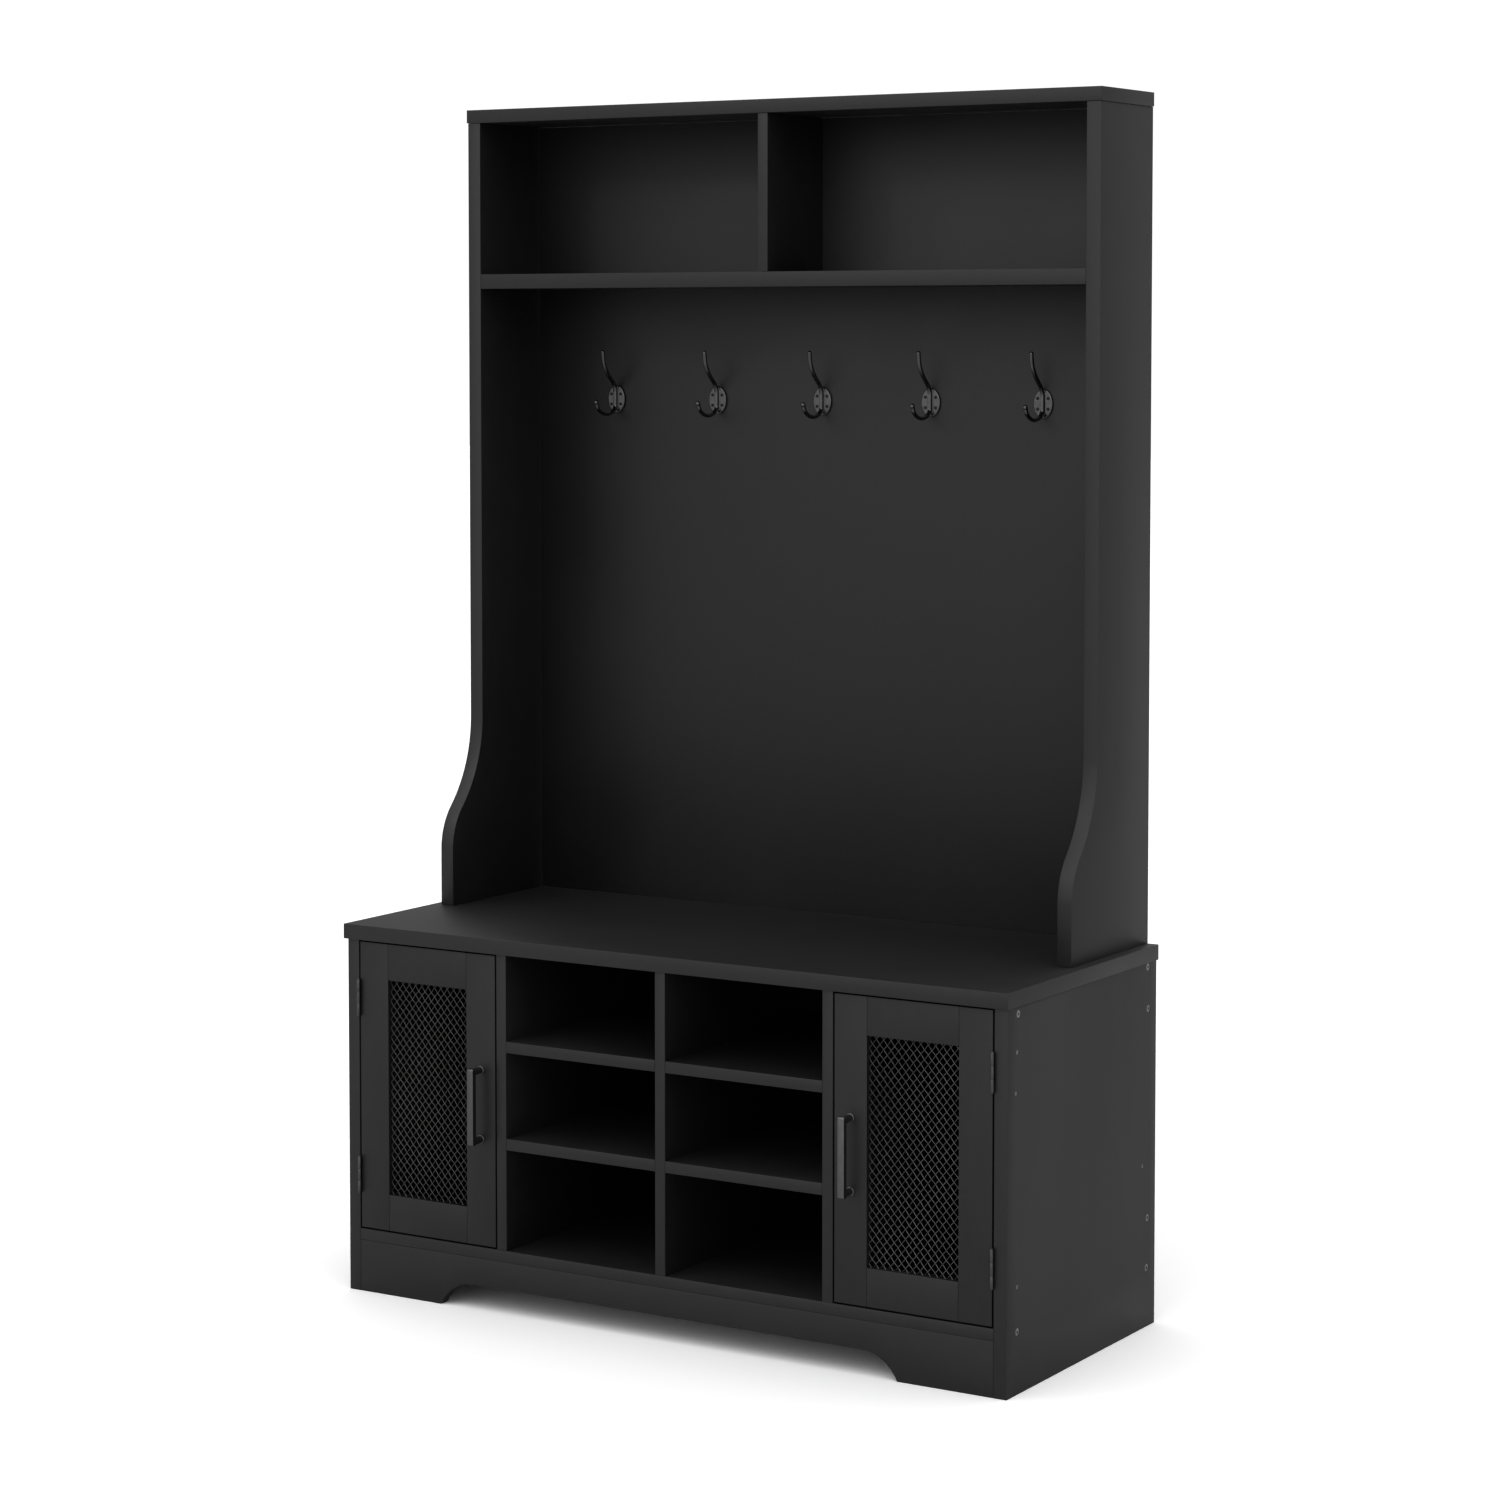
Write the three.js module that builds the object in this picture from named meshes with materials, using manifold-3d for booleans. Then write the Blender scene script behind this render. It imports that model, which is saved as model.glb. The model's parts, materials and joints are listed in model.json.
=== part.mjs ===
// Hall tree: a shoe bench with two mesh-door cabinets and six cubbies, and a hutch with coat hooks on it.
// Millimetres, +Z up. X runs along the width, the front faces -Y and the floor is z = 0.
// Places along the depth are given as the distance in front of the back plane.

import * as THREE from "three";
import { mergeVertices } from "three/addons/utils/BufferGeometryUtils.js";
import Module from "manifold-3d";

const wasm = await Module();
wasm.setup();

// ---------------------------------------------------------------- driving dimensions

const fit = 0.3; // clearance between pieces that touch
const ease = 0.8; // eased edge of a board
const thinEase = 0.4; // eased edge of a back panel
const bite = 1; // how far the joined stretches of one piece reach into each other
const roundSides = 14; // sides of a small round piece
const board = 15; // inner boards of the base
const backThickness = 5; // both back panels
const backInset = 1; // back panels stand in from the back plane

const bench = { width: 1003, depth: 420, height: 497, thickness: 20, edge: 1.2 };
const base = { width: 997, frontDepth: 414, sideThickness: 18 };
const bottomPanelTop = 85;
const cubby = { halfWidth: 240, upperShelfTop: 362.5, lowerShelfTop: 234 };
const kick = { cutHalfWidth: 347, cutHeight: 33, cutRadius: 57.5 };

const hutch = {
  width: 972,
  height: 1594.6,
  sideThickness: 20,
  footDepth: 220.5,
  upperDepth: 149.7,
  sweepBottom: 575,
  sweepTop: 755,
  sweepShare: 0.68, // share of the S sweep that the upper, hollow arc takes
};
const hutchTop = { width: 975, depth: 151, thickness: 18, edge: 1 };
const hutchShelf = { top: 1368.2, thickness: 20 };
const hutchDividerX = -8.5;

const hooks = { count: 5, pitch: 167.3, height: 1195 };
const hookPlate = { halfWidth: 14, halfHeight: 19, thickness: 3, edge: 0.7 };
const hookRod = 3; // radius of the bar
const hookTip = 3.5; // radius of the ball at each end

const door = { gap: 2.5, topGap: 3, thickness: 15, stile: 46, rail: 48.5 };
const mesh = { thickness: 1.6, setBack: 6, tongue: 6 };

const handle = {
  height: 275, // of its middle
  length: 102,
  width: 9.5,
  barDepth: 8,
  projection: 25,
  edge: 1.5,
  postRadius: 4.6,
  postInset: 5,
};

const hinge = {
  length: 48,
  leaf: 0.8,
  leafDepth: 19,
  barrelRadius: 2.8,
  boreRadius: 1.65,
  pinRadius: 1.25,
  capRadius: 2.5,
  capHeight: 1.2,
  knuckles: 3,
  heights: [399, 159],
};
const magnetCatch = { width: 13, depth: 15, height: 38, z: 275, edge: 1 };
const strikePlate = { width: 17, thickness: 0.8, height: 26, inset: 1 };
const confirmat = {
  headRadius: 4.8,
  headDepth: 2.2,
  shankRadius: 3.1,
  length: 46,
  depths: [386, 24],
};

// ---------------------------------------------------------------- places worked out from them

const overallDepth = base.frontDepth + handle.projection;
const backY = overallDepth / 2;
const benchUnder = bench.height - bench.thickness;
const sideInner = base.width / 2 - base.sideThickness;
const panelFront = backInset + backThickness; // distance of a back panel's front face from the back plane
const cubbyOuter = cubby.halfWidth + board;
const doorOuter = sideInner - door.gap;
const doorInner = cubbyOuter + door.gap;
const doorBottom = bottomPanelTop + door.gap;
const doorTop = benchUnder - door.topGap;
const doorBackDepth = base.frontDepth - door.thickness;
const hingeX = sideInner - door.gap / 2;
const hingeDepth = base.frontDepth + hinge.barrelRadius + fit;
const hutchInner = hutch.width / 2 - hutch.sideThickness;
const hutchTopUnder = hutch.height - hutchTop.thickness;

// ---------------------------------------------------------------- finishes

function finish(color, roughness, metalness) {
  return new THREE.MeshStandardMaterial({ color, roughness, metalness });
}
const laminate = finish(0x2c2c2d, 0.55, 0);
const backBoard = finish(0x262626, 0.65, 0);
const doorPaint = finish(0x303031, 0.5, 0);
const meshWire = finish(0x141414, 0.4, 0.8);
const hookBlack = finish(0x0c0c0c, 0.25, 0.6);
const handleBlack = finish(0x202020, 0.35, 0.7);
const zincSteel = finish(0x8c8c8a, 0.35, 0.9);
const catchPlastic = finish(0x1a1a1a, 0.6, 0);

// ---------------------------------------------------------------- helpers

const X = new THREE.Vector3(1, 0, 0);
const Y = new THREE.Vector3(0, 1, 0);
const Z = new THREE.Vector3(0, 0, 1);

function node(name, geometry, material) {
  const made = new THREE.Mesh(geometry, material);
  made.name = name;
  return made;
}

// The y of a point at a distance in front of the back plane.
const yAt = (depth) => backY - depth;

// Two x values in rising order, on the left (-1) or right (+1) of the middle.
const across = (side, inner, outer) => (side < 0 ? [-outer, -inner] : [inner, outer]);

function extrude(outline, length, edge = ease, curveSegments = 10) {
  const made = new THREE.ExtrudeGeometry(outline, {
    depth: length - 2 * edge,
    bevelThickness: edge,
    bevelSize: edge,
    bevelOffset: -edge,
    bevelSegments: 1,
    curveSegments,
  });
  return made.translate(0, 0, edge);
}

function rectangle(x0, x1, y0, y1, corner) {
  const outline = new THREE.Shape();
  outline.moveTo(x0 + corner, y0);
  outline.lineTo(x1 - corner, y0);
  outline.lineTo(x1, y0 + corner);
  outline.lineTo(x1, y1 - corner);
  outline.lineTo(x1 - corner, y1);
  outline.lineTo(x0 + corner, y1);
  outline.lineTo(x0, y1 - corner);
  outline.lineTo(x0, y0 + corner);
  outline.closePath();
  return outline;
}

// A board with eased edges, between x0 and x1, two depths in front of the back plane, and z0 and z1.
function boardGeometry([x0, x1], [back, front], [z0, z1], edge = ease) {
  const outline = rectangle(x0, x1, yAt(front), yAt(back), edge);
  return extrude(outline, z1 - z0, edge).translate(0, 0, z0);
}

function boxGeometry([x0, x1], [back, front], [z0, z1]) {
  const made = new THREE.BoxGeometry(x1 - x0, front - back, z1 - z0);
  return made.translate((x0 + x1) / 2, yAt((back + front) / 2), (z0 + z1) / 2);
}

// Round bars along each axis, centred on the origin.
const rodAlongY = (radius, length) => new THREE.CylinderGeometry(radius, radius, length, roundSides);
const rodAlongZ = (radius, length) => rodAlongY(radius, length).rotateX(Math.PI / 2);
const rodAlongX = (radius, length) => rodAlongZ(radius, length).rotateY(Math.PI / 2);

function solid(geometry) {
  const bare = new THREE.BufferGeometry();
  const flat = geometry.index ? geometry.toNonIndexed() : geometry;
  bare.setAttribute("position", flat.getAttribute("position"));
  const merged = mergeVertices(bare, 1e-4);
  return new wasm.Manifold(
    new wasm.Mesh({
      numProp: 3,
      vertProperties: new Float32Array(merged.attributes.position.array),
      triVerts: new Uint32Array(merged.index.array),
    }),
  );
}

function geometryOf(made) {
  const { vertProperties, triVerts } = made.getMesh();
  const out = new THREE.BufferGeometry();
  out.setAttribute("position", new THREE.BufferAttribute(new Float32Array(vertProperties), 3));
  out.setIndex(new THREE.BufferAttribute(new Uint32Array(triVerts), 1));
  out.computeVertexNormals();
  return out;
}

const join = (...parts) => geometryOf(parts.map(solid).reduce((a, b) => a.add(b)));
const cut = (body, ...tools) => geometryOf(tools.map(solid).reduce((a, b) => a.subtract(b), solid(body)));

// ---------------------------------------------------------------- base

// Bore for a confirmat screw that goes from outside a base side into the end of the bottom panel.
function confirmatBores(side, depth) {
  const z = bottomPanelTop - board / 2;
  const outer = base.width / 2;
  const headBore = rodAlongX(confirmat.headRadius + fit, 2 * (confirmat.headDepth + fit));
  const shankBore = rodAlongX(confirmat.shankRadius + fit, 2 * (confirmat.length + fit));
  return [headBore, shankBore].map((bore) => bore.translate(side * outer, yAt(depth), z));
}

function confirmatScrew(side, depth) {
  const head = rodAlongX(confirmat.headRadius, confirmat.headDepth);
  head.translate(-confirmat.headDepth / 2, 0, 0);
  const shankLength = confirmat.length - confirmat.headDepth / 2;
  const shank = rodAlongX(confirmat.shankRadius, shankLength);
  shank.translate(-confirmat.length + shankLength / 2, 0, 0);
  const screw = join(head, shank);
  if (side < 0) screw.rotateZ(Math.PI);
  return screw.translate((side * base.width) / 2, yAt(depth), bottomPanelTop - board / 2);
}

function kickBoardGeometry() {
  const half = sideInner - fit;
  const top = bottomPanelTop - board - fit;
  const centreDrop = kick.cutRadius - kick.cutHeight;
  const run = Math.sqrt(kick.cutRadius ** 2 - centreDrop ** 2);
  const arcX = kick.cutHalfWidth - run;
  const startAngle = Math.atan2(centreDrop, run);
  const outline = new THREE.Shape();
  outline.moveTo(-half, 0);
  outline.lineTo(-kick.cutHalfWidth, 0);
  outline.absarc(-arcX, -centreDrop, kick.cutRadius, Math.PI - startAngle, Math.PI / 2, true);
  outline.absarc(arcX, -centreDrop, kick.cutRadius, Math.PI / 2, startAngle, true);
  outline.lineTo(half, 0);
  outline.lineTo(half, top);
  outline.lineTo(-half, top);
  outline.closePath();
  const made = extrude(outline, board);
  made.applyMatrix4(new THREE.Matrix4().makeBasis(X, Z, Y.clone().negate()));
  return made.translate(0, yAt(base.frontDepth - board), 0);
}

function buildBase() {
  const group = new THREE.Group();
  const inside = [panelFront + fit, base.frontDepth];
  const bores = (side) => confirmat.depths.flatMap((depth) => confirmatBores(side, depth));
  for (const side of [-1, 1]) {
    const hand = side < 0 ? "left" : "right";
    const x = across(side, sideInner, base.width / 2);
    const panel = boardGeometry(x, [0, base.frontDepth], [0, benchUnder - fit]);
    group.add(node(`base_side_${hand}`, cut(panel, ...bores(side)), laminate));
    const partitionX = across(side, cubby.halfWidth, cubbyOuter);
    const partition = boardGeometry(partitionX, inside, [bottomPanelTop + fit, benchUnder - fit]);
    group.add(node(`partition_${hand}`, partition, laminate));
    const shelfX = across(side, board / 2 + fit, cubby.halfWidth - fit);
    for (const [level, top] of [["upper", cubby.upperShelfTop], ["lower", cubby.lowerShelfTop]]) {
      const shelf = boardGeometry(shelfX, inside, [top - board, top]);
      group.add(node(`cubby_shelf_${level}_${hand}`, shelf, laminate));
    }
    confirmat.depths.forEach((depth, i) => {
      const place = i ? "rear" : "front";
      group.add(node(`confirmat_screw_${hand}_${place}`, confirmatScrew(side, depth), zincSteel));
    });
  }
  const fullWidth = [-sideInner + fit, sideInner - fit];
  const bottomPanel = boardGeometry(fullWidth, inside, [bottomPanelTop - board, bottomPanelTop]);
  group.add(node("bottom_panel", cut(bottomPanel, ...bores(-1), ...bores(1)), laminate));
  const divider = boardGeometry([-board / 2, board / 2], inside, [bottomPanelTop + fit, benchUnder - fit]);
  group.add(node("center_divider", divider, laminate));
  group.add(node("kick_board", kickBoardGeometry(), laminate));
  const backZ = [bottomPanelTop - board, benchUnder - fit];
  const back = boardGeometry(fullWidth, [backInset, panelFront], backZ, thinEase);
  group.add(node("base_back_panel", back, backBoard));
  const topX = [-bench.width / 2, bench.width / 2];
  const top = boardGeometry(topX, [0, bench.depth], [benchUnder, bench.height], bench.edge);
  group.add(node("bench_top", top, laminate));
  return group;
}

// ---------------------------------------------------------------- hutch

// A side panel's outline, with x as the depth (front negative) and y as the height.
function hutchSideOutline() {
  const bottom = bench.height + fit;
  const top = hutchTopUnder - fit;
  const step = hutch.footDepth - hutch.upperDepth;
  const rise = hutch.sweepTop - hutch.sweepBottom;
  const lean = 2 * Math.atan2(step, rise);
  const radii = rise / Math.sin(lean);
  const upperRadius = radii * hutch.sweepShare;
  const lowerRadius = radii - upperRadius;
  const outline = new THREE.Shape();
  outline.moveTo(0, bottom);
  outline.lineTo(0, top);
  outline.lineTo(-hutch.upperDepth, top);
  outline.absarc(-hutch.upperDepth - upperRadius, hutch.sweepTop, upperRadius, 0, -lean, true);
  const lowerCentre = -hutch.footDepth + lowerRadius;
  outline.absarc(lowerCentre, hutch.sweepBottom, lowerRadius, Math.PI - lean, Math.PI, false);
  outline.lineTo(-hutch.footDepth, bottom);
  outline.closePath();
  return outline;
}

function hutchSideGeometry(side) {
  const made = extrude(hutchSideOutline(), hutch.sideThickness);
  made.applyMatrix4(new THREE.Matrix4().makeBasis(Y, Z, X));
  const [x0] = across(side, hutchInner, hutch.width / 2);
  return made.translate(x0, backY, 0);
}

function buildHutch() {
  const group = new THREE.Group();
  group.add(node("hutch_side_left", hutchSideGeometry(-1), laminate));
  group.add(node("hutch_side_right", hutchSideGeometry(1), laminate));
  const inner = [-hutchInner + fit, hutchInner - fit];
  const depth = [panelFront + fit, hutch.upperDepth];
  const shelfZ = [hutchShelf.top - hutchShelf.thickness, hutchShelf.top];
  group.add(node("hutch_shelf", boardGeometry(inner, depth, shelfZ), laminate));
  const dividerX = [hutchDividerX - board / 2, hutchDividerX + board / 2];
  const dividerZ = [hutchShelf.top + fit, hutchTopUnder - fit];
  group.add(node("hutch_divider", boardGeometry(dividerX, depth, dividerZ), laminate));
  const backZ = [bench.height + fit, hutchTopUnder - fit];
  const back = boardGeometry(inner, [backInset, panelFront], backZ, thinEase);
  group.add(node("hutch_back_panel", back, backBoard));
  const topX = [-hutchTop.width / 2, hutchTop.width / 2];
  const top = boardGeometry(topX, [0, hutchTop.depth], [hutchTopUnder, hutch.height], hutchTop.edge);
  group.add(node("hutch_top", top, laminate));
  return group;
}

// ---------------------------------------------------------------- coat hooks

// A round bar along a smooth path of [forward, up] points, in the plane x = 0.
function bentRod(points) {
  const places = points.map(([forward, up]) => new THREE.Vector3(0, -forward, up));
  const path = new THREE.CatmullRomCurve3(places);
  const section = new THREE.Shape();
  section.absarc(0, 0, hookRod, 0, 2 * Math.PI, false);
  return new THREE.ExtrudeGeometry(section, { steps: 12, extrudePath: path, curveSegments: 4 });
}

function hookBall(forward, up) {
  return new THREE.SphereGeometry(hookTip, 8, 6).rotateX(Math.PI / 2).translate(0, -forward, up);
}

// Local origin at the middle of the plate's back. The bar runs down from the long upper prong, over the
// plate as its rib, and out into the short lower prong.
function hookGeometry() {
  const outline = new THREE.Shape();
  outline.absellipse(0, 0, hookPlate.halfWidth, hookPlate.halfHeight, 0, 2 * Math.PI, false);
  const plate = extrude(outline, hookPlate.thickness, hookPlate.edge);
  plate.applyMatrix4(new THREE.Matrix4().makeBasis(X, Z, Y.clone().negate()));
  const upperTip = [36, 65.5];
  const lowerTip = [52.5, -4];
  const upper = [upperTip, [34, 52], [28.5, 41.5], [20.5, 32], [10.5, 23], [5, 14], [3.6, 4], [3.6, -2]];
  const lower = [[3.6, 2], [4, -9], [12, -17.5], [25, -20.7], [38, -18.7], [48, -12.5], lowerTip];
  return join(
    plate,
    bentRod(upper),
    bentRod(lower),
    hookBall(...upperTip),
    hookBall(...lowerTip),
  );
}

function buildHooks() {
  const group = new THREE.Group();
  group.position.set(0, yAt(panelFront + fit), hooks.height);
  for (let i = 0; i < hooks.count; i++) {
    const hook = node(`coat_hook_${i + 1}`, hookGeometry(), hookBlack);
    hook.position.x = (i - (hooks.count - 1) / 2) * hooks.pitch;
    group.add(hook);
  }
  return group;
}

// ---------------------------------------------------------------- doors

function handleGeometry(x) {
  const front = base.frontDepth + handle.projection;
  const barX = [x - handle.width / 2, x + handle.width / 2];
  const barZ = [handle.height - handle.length / 2, handle.height + handle.length / 2];
  const bar = boardGeometry(barX, [front - handle.barDepth, front], barZ, handle.edge);
  const postFrom = base.frontDepth + fit;
  const postTo = front - handle.barDepth / 2;
  const posts = [-1, 1].map((end) => {
    const post = rodAlongY(handle.postRadius, postTo - postFrom);
    const z = handle.height + end * (handle.length / 2 - handle.postInset);
    return post.translate(x, yAt((postFrom + postTo) / 2), z);
  });
  return join(bar, ...posts);
}

function buildDoor(side) {
  const hand = side < 0 ? "left" : "right";
  const group = new THREE.Group();
  const depth = [doorBackDepth, base.frontDepth];
  const openInner = doorInner + door.stile;
  const openOuter = doorOuter - door.stile;
  const openBottom = doorBottom + door.rail;
  const openTop = doorTop - door.rail;

  // The sheet of mesh stands in a groove round the frame's inner edges.
  const meshFront = base.frontDepth - mesh.setBack;
  const meshX = across(side, openInner - mesh.tongue, openOuter + mesh.tongue);
  const meshZ = [openBottom - mesh.tongue, openTop + mesh.tongue];
  const sheet = boxGeometry(meshX, [meshFront - mesh.thickness, meshFront], meshZ);
  const groove = boxGeometry(
    [meshX[0] - fit, meshX[1] + fit],
    [meshFront - mesh.thickness - fit, meshFront + fit],
    [meshZ[0] - fit, meshZ[1] + fit],
  );
  const frame = (part, x, z) => {
    group.add(node(`door_${hand}_${part}`, cut(boardGeometry(x, depth, z), groove), doorPaint));
  };
  frame("inner_stile", across(side, doorInner, openInner), [doorBottom, doorTop]);
  frame("outer_stile", across(side, openOuter, doorOuter), [doorBottom, doorTop]);
  frame("top_rail", across(side, openInner + fit, openOuter - fit), [openTop, doorTop]);
  frame("bottom_rail", across(side, openInner + fit, openOuter - fit), [doorBottom, openBottom]);
  group.add(node(`door_${hand}_mesh_panel`, sheet, meshWire));

  const handleX = side * (doorInner + door.stile / 2);
  group.add(node(`door_${hand}_handle`, handleGeometry(handleX), handleBlack));

  const strikeInner = doorInner + strikePlate.inset;
  const strikeX = across(side, strikeInner, strikeInner + strikePlate.width);
  const strikeDepth = [doorBackDepth - fit - strikePlate.thickness, doorBackDepth - fit];
  const strikeZ = [magnetCatch.z - strikePlate.height / 2, magnetCatch.z + strikePlate.height / 2];
  group.add(node(`door_${hand}_strike_plate`, boxGeometry(strikeX, strikeDepth, strikeZ), zincSteel));

  const catchX = across(side, cubbyOuter + fit, cubbyOuter + fit + magnetCatch.width);
  const catchFront = strikeDepth[0] - fit;
  const catchZ = [magnetCatch.z - magnetCatch.height / 2, magnetCatch.z + magnetCatch.height / 2];
  const catchDepth = [catchFront - magnetCatch.depth, catchFront];
  const catchBody = boardGeometry(catchX, catchDepth, catchZ, magnetCatch.edge);
  group.add(node(`magnet_catch_${hand}`, catchBody, catchPlastic));
  return group;
}

// ---------------------------------------------------------------- hinges

// A knuckle: a ring round the pin's axis, between two heights.
function knuckle(x, z0, z1) {
  const profile = [
    [hinge.boreRadius, z0],
    [hinge.barrelRadius, z0],
    [hinge.barrelRadius, z1],
    [hinge.boreRadius, z1],
    [hinge.boreRadius, z0],
  ].map(([radius, z]) => new THREE.Vector2(radius, z));
  const ring = new THREE.LatheGeometry(profile, roundSides).rotateX(Math.PI / 2);
  return ring.translate(x, yAt(hingeDepth), 0);
}

// One leaf with the knuckles it carries, counted from the bottom. The plate's middle lies at leafX.
function leafGeometry(x, leafX, middle, carried) {
  const knuckleLength = hinge.length / hinge.knuckles;
  const bottom = middle - hinge.length / 2;
  const plateX = [leafX - hinge.leaf / 2, leafX + hinge.leaf / 2];
  const barrelBack = hingeDepth - hinge.barrelRadius;
  const plateFront = barrelBack - fit;
  const plateZ = [bottom, bottom + hinge.length];
  const parts = [boxGeometry(plateX, [plateFront - hinge.leafDepth, plateFront], plateZ)];
  for (const index of carried) {
    const z0 = bottom + index * knuckleLength + fit / 2;
    const z1 = z0 + knuckleLength - fit;
    const wallMiddle = hingeDepth - (hinge.barrelRadius + hinge.boreRadius) / 2;
    parts.push(boxGeometry(plateX, [plateFront - bite, wallMiddle], [z0, z1]));
    parts.push(knuckle(x, z0, z1));
  }
  return join(...parts);
}

function pinGeometry(x, middle) {
  const pin = rodAlongZ(hinge.pinRadius, hinge.length + hinge.capHeight);
  const capMiddle = (hinge.length + hinge.capHeight + fit) / 2;
  const caps = [-1, 1].map((end) => {
    return rodAlongZ(hinge.capRadius, hinge.capHeight).translate(0, 0, end * capMiddle);
  });
  return join(pin, ...caps).translate(x, yAt(hingeDepth), middle);
}

function buildHinges(side) {
  const hand = side < 0 ? "left" : "right";
  const group = new THREE.Group();
  const x = side * hingeX;
  const leafOffset = (hinge.leaf + fit) / 2;
  hinge.heights.forEach((middle, i) => {
    const name = `hinge_${hand}_${i ? "lower" : "upper"}`;
    const frameLeaf = leafGeometry(x, x + side * leafOffset, middle, [0, 2]);
    const doorLeaf = leafGeometry(x, x - side * leafOffset, middle, [1]);
    group.add(node(`${name}_frame_leaf`, frameLeaf, zincSteel));
    group.add(node(`${name}_door_leaf`, doorLeaf, zincSteel));
    group.add(node(`${name}_pin`, pinGeometry(x, middle), zincSteel));
  });
  return group;
}

// ---------------------------------------------------------------- assembly

const hallTree = new THREE.Group();
hallTree.name = "hall_tree";
hallTree.add(buildBase(), buildHutch(), buildHooks());
for (const side of [-1, 1]) hallTree.add(buildDoor(side), buildHinges(side));

export default hallTree;
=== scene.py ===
import json
import math

import bmesh
import bpy
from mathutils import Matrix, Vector


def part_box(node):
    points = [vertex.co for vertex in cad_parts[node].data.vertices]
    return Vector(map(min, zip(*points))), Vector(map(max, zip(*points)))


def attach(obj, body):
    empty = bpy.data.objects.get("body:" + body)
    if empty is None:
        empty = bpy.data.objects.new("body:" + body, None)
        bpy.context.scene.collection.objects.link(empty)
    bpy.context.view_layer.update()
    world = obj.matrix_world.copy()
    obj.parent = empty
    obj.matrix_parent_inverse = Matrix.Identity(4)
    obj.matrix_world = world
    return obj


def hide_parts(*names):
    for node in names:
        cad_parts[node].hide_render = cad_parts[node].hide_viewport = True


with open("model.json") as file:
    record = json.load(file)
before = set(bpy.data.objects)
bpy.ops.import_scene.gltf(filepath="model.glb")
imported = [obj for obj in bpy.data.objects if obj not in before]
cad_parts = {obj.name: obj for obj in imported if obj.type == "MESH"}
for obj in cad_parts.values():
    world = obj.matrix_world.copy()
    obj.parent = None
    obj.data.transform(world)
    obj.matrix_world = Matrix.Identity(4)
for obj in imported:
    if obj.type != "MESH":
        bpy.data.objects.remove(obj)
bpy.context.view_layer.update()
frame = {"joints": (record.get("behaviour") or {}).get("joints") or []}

# Hall tree in black laminated board: shoe bench with mesh doors, hutch with coat hooks.
# Metres, +Z up, the front faces -Y.

mm = 0.001
hands = {"left": -1, "right": 1}
doorBody = {"left": "left_door", "right": "right_door"}
hingeAxis = {j["child"]: Vector(j["pos_m"]) for j in frame["joints"]}

# camera, light and floor

studio = {
    "cameraPlace": (2.5318, -4.0861, 1.2887),
    "cameraTurn": (86.61, 0.0, 31.63),  # degrees
    "lens": 88.39,
    "sensor": 36.0,
    "shiftY": -0.1333,
    "backdrop": 1.05,  # what the camera sees past the floor
    # how bright the room is towards each side and overhead: axis, sign, strength
    "room": {
        "ceiling": (2, 1, 1.85),
        "front": (1, -1, 1.5),
        "behind": (1, 1, 0.45),
        "left": (0, -1, 0.15),
        "right": (0, 1, 0.62),
    },
    "floorSize": 60,
    "floorTone": 1.3,  # what the camera sees of the floor
    "floorBounce": 0.55,  # what the floor sends up to the piece
    "keyPlace": (-2.6, -3.4, 3.6),
    "keyTarget": (0, 0, 0.7),
    "keySize": (0.5, 0.5),
    "keyPower": 6.0,
}


def addCamera():
    bpy.ops.object.camera_add(location=studio["cameraPlace"])
    camera = bpy.context.object
    camera.name = "studioCamera"
    camera.rotation_euler = [math.radians(a) for a in studio["cameraTurn"]]
    camera.data.lens = studio["lens"]
    camera.data.sensor_width = studio["sensor"]
    camera.data.shift_y = studio["shiftY"]
    bpy.context.scene.camera = camera


def addLamp(name, place, target, size, power):
    bpy.ops.object.light_add(type="AREA", location=place)
    lamp = bpy.context.object
    lamp.name = name
    lamp.data.shape = "RECTANGLE"
    lamp.data.size, lamp.data.size_y = size
    lamp.data.energy = power
    aim = Vector(target) - Vector(place)
    lamp.rotation_euler = aim.to_track_quat("-Z", "Y").to_euler()


# soft light that changes smoothly with direction, and a plain backdrop for the camera
def addWorld():
    world = bpy.data.worlds.new("studioWorld")
    world.use_nodes = True
    tree = world.node_tree
    tree.nodes.clear()
    out = tree.nodes.new("ShaderNodeOutputWorld")
    mix = tree.nodes.new("ShaderNodeMixShader")
    path = tree.nodes.new("ShaderNodeLightPath")
    way = tree.nodes.new("ShaderNodeTexCoord")
    split = tree.nodes.new("ShaderNodeSeparateXYZ")
    tree.links.new(way.outputs["Generated"], split.inputs[0])
    total = None
    for axis, sign, strength in studio["room"].values():
        steps = []
        sums = (("MULTIPLY", sign), ("MAXIMUM", 0), ("POWER", 2), ("MULTIPLY_ADD", strength))
        for operation, value in sums:
            step = tree.nodes.new("ShaderNodeMath")
            step.operation = operation
            step.inputs[1].default_value = value
            step.inputs[2].default_value = 0
            steps.append(step)
        tree.links.new(split.outputs[axis], steps[0].inputs[0])
        for before, after in zip(steps, steps[1:]):
            tree.links.new(before.outputs[0], after.inputs[0])
        if total:
            tree.links.new(total.outputs[0], steps[-1].inputs[2])
        total = steps[-1]
    room = tree.nodes.new("ShaderNodeBackground")
    backdrop = tree.nodes.new("ShaderNodeBackground")
    backdrop.inputs["Color"].default_value = (1, 1, 1, 1)
    backdrop.inputs["Strength"].default_value = studio["backdrop"]
    tree.links.new(total.outputs[0], room.inputs["Strength"])
    tree.links.new(path.outputs["Is Camera Ray"], mix.inputs["Fac"])
    tree.links.new(room.outputs[0], mix.inputs[1])
    tree.links.new(backdrop.outputs[0], mix.inputs[2])
    tree.links.new(mix.outputs[0], out.inputs["Surface"])
    bpy.context.scene.world = world


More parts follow.
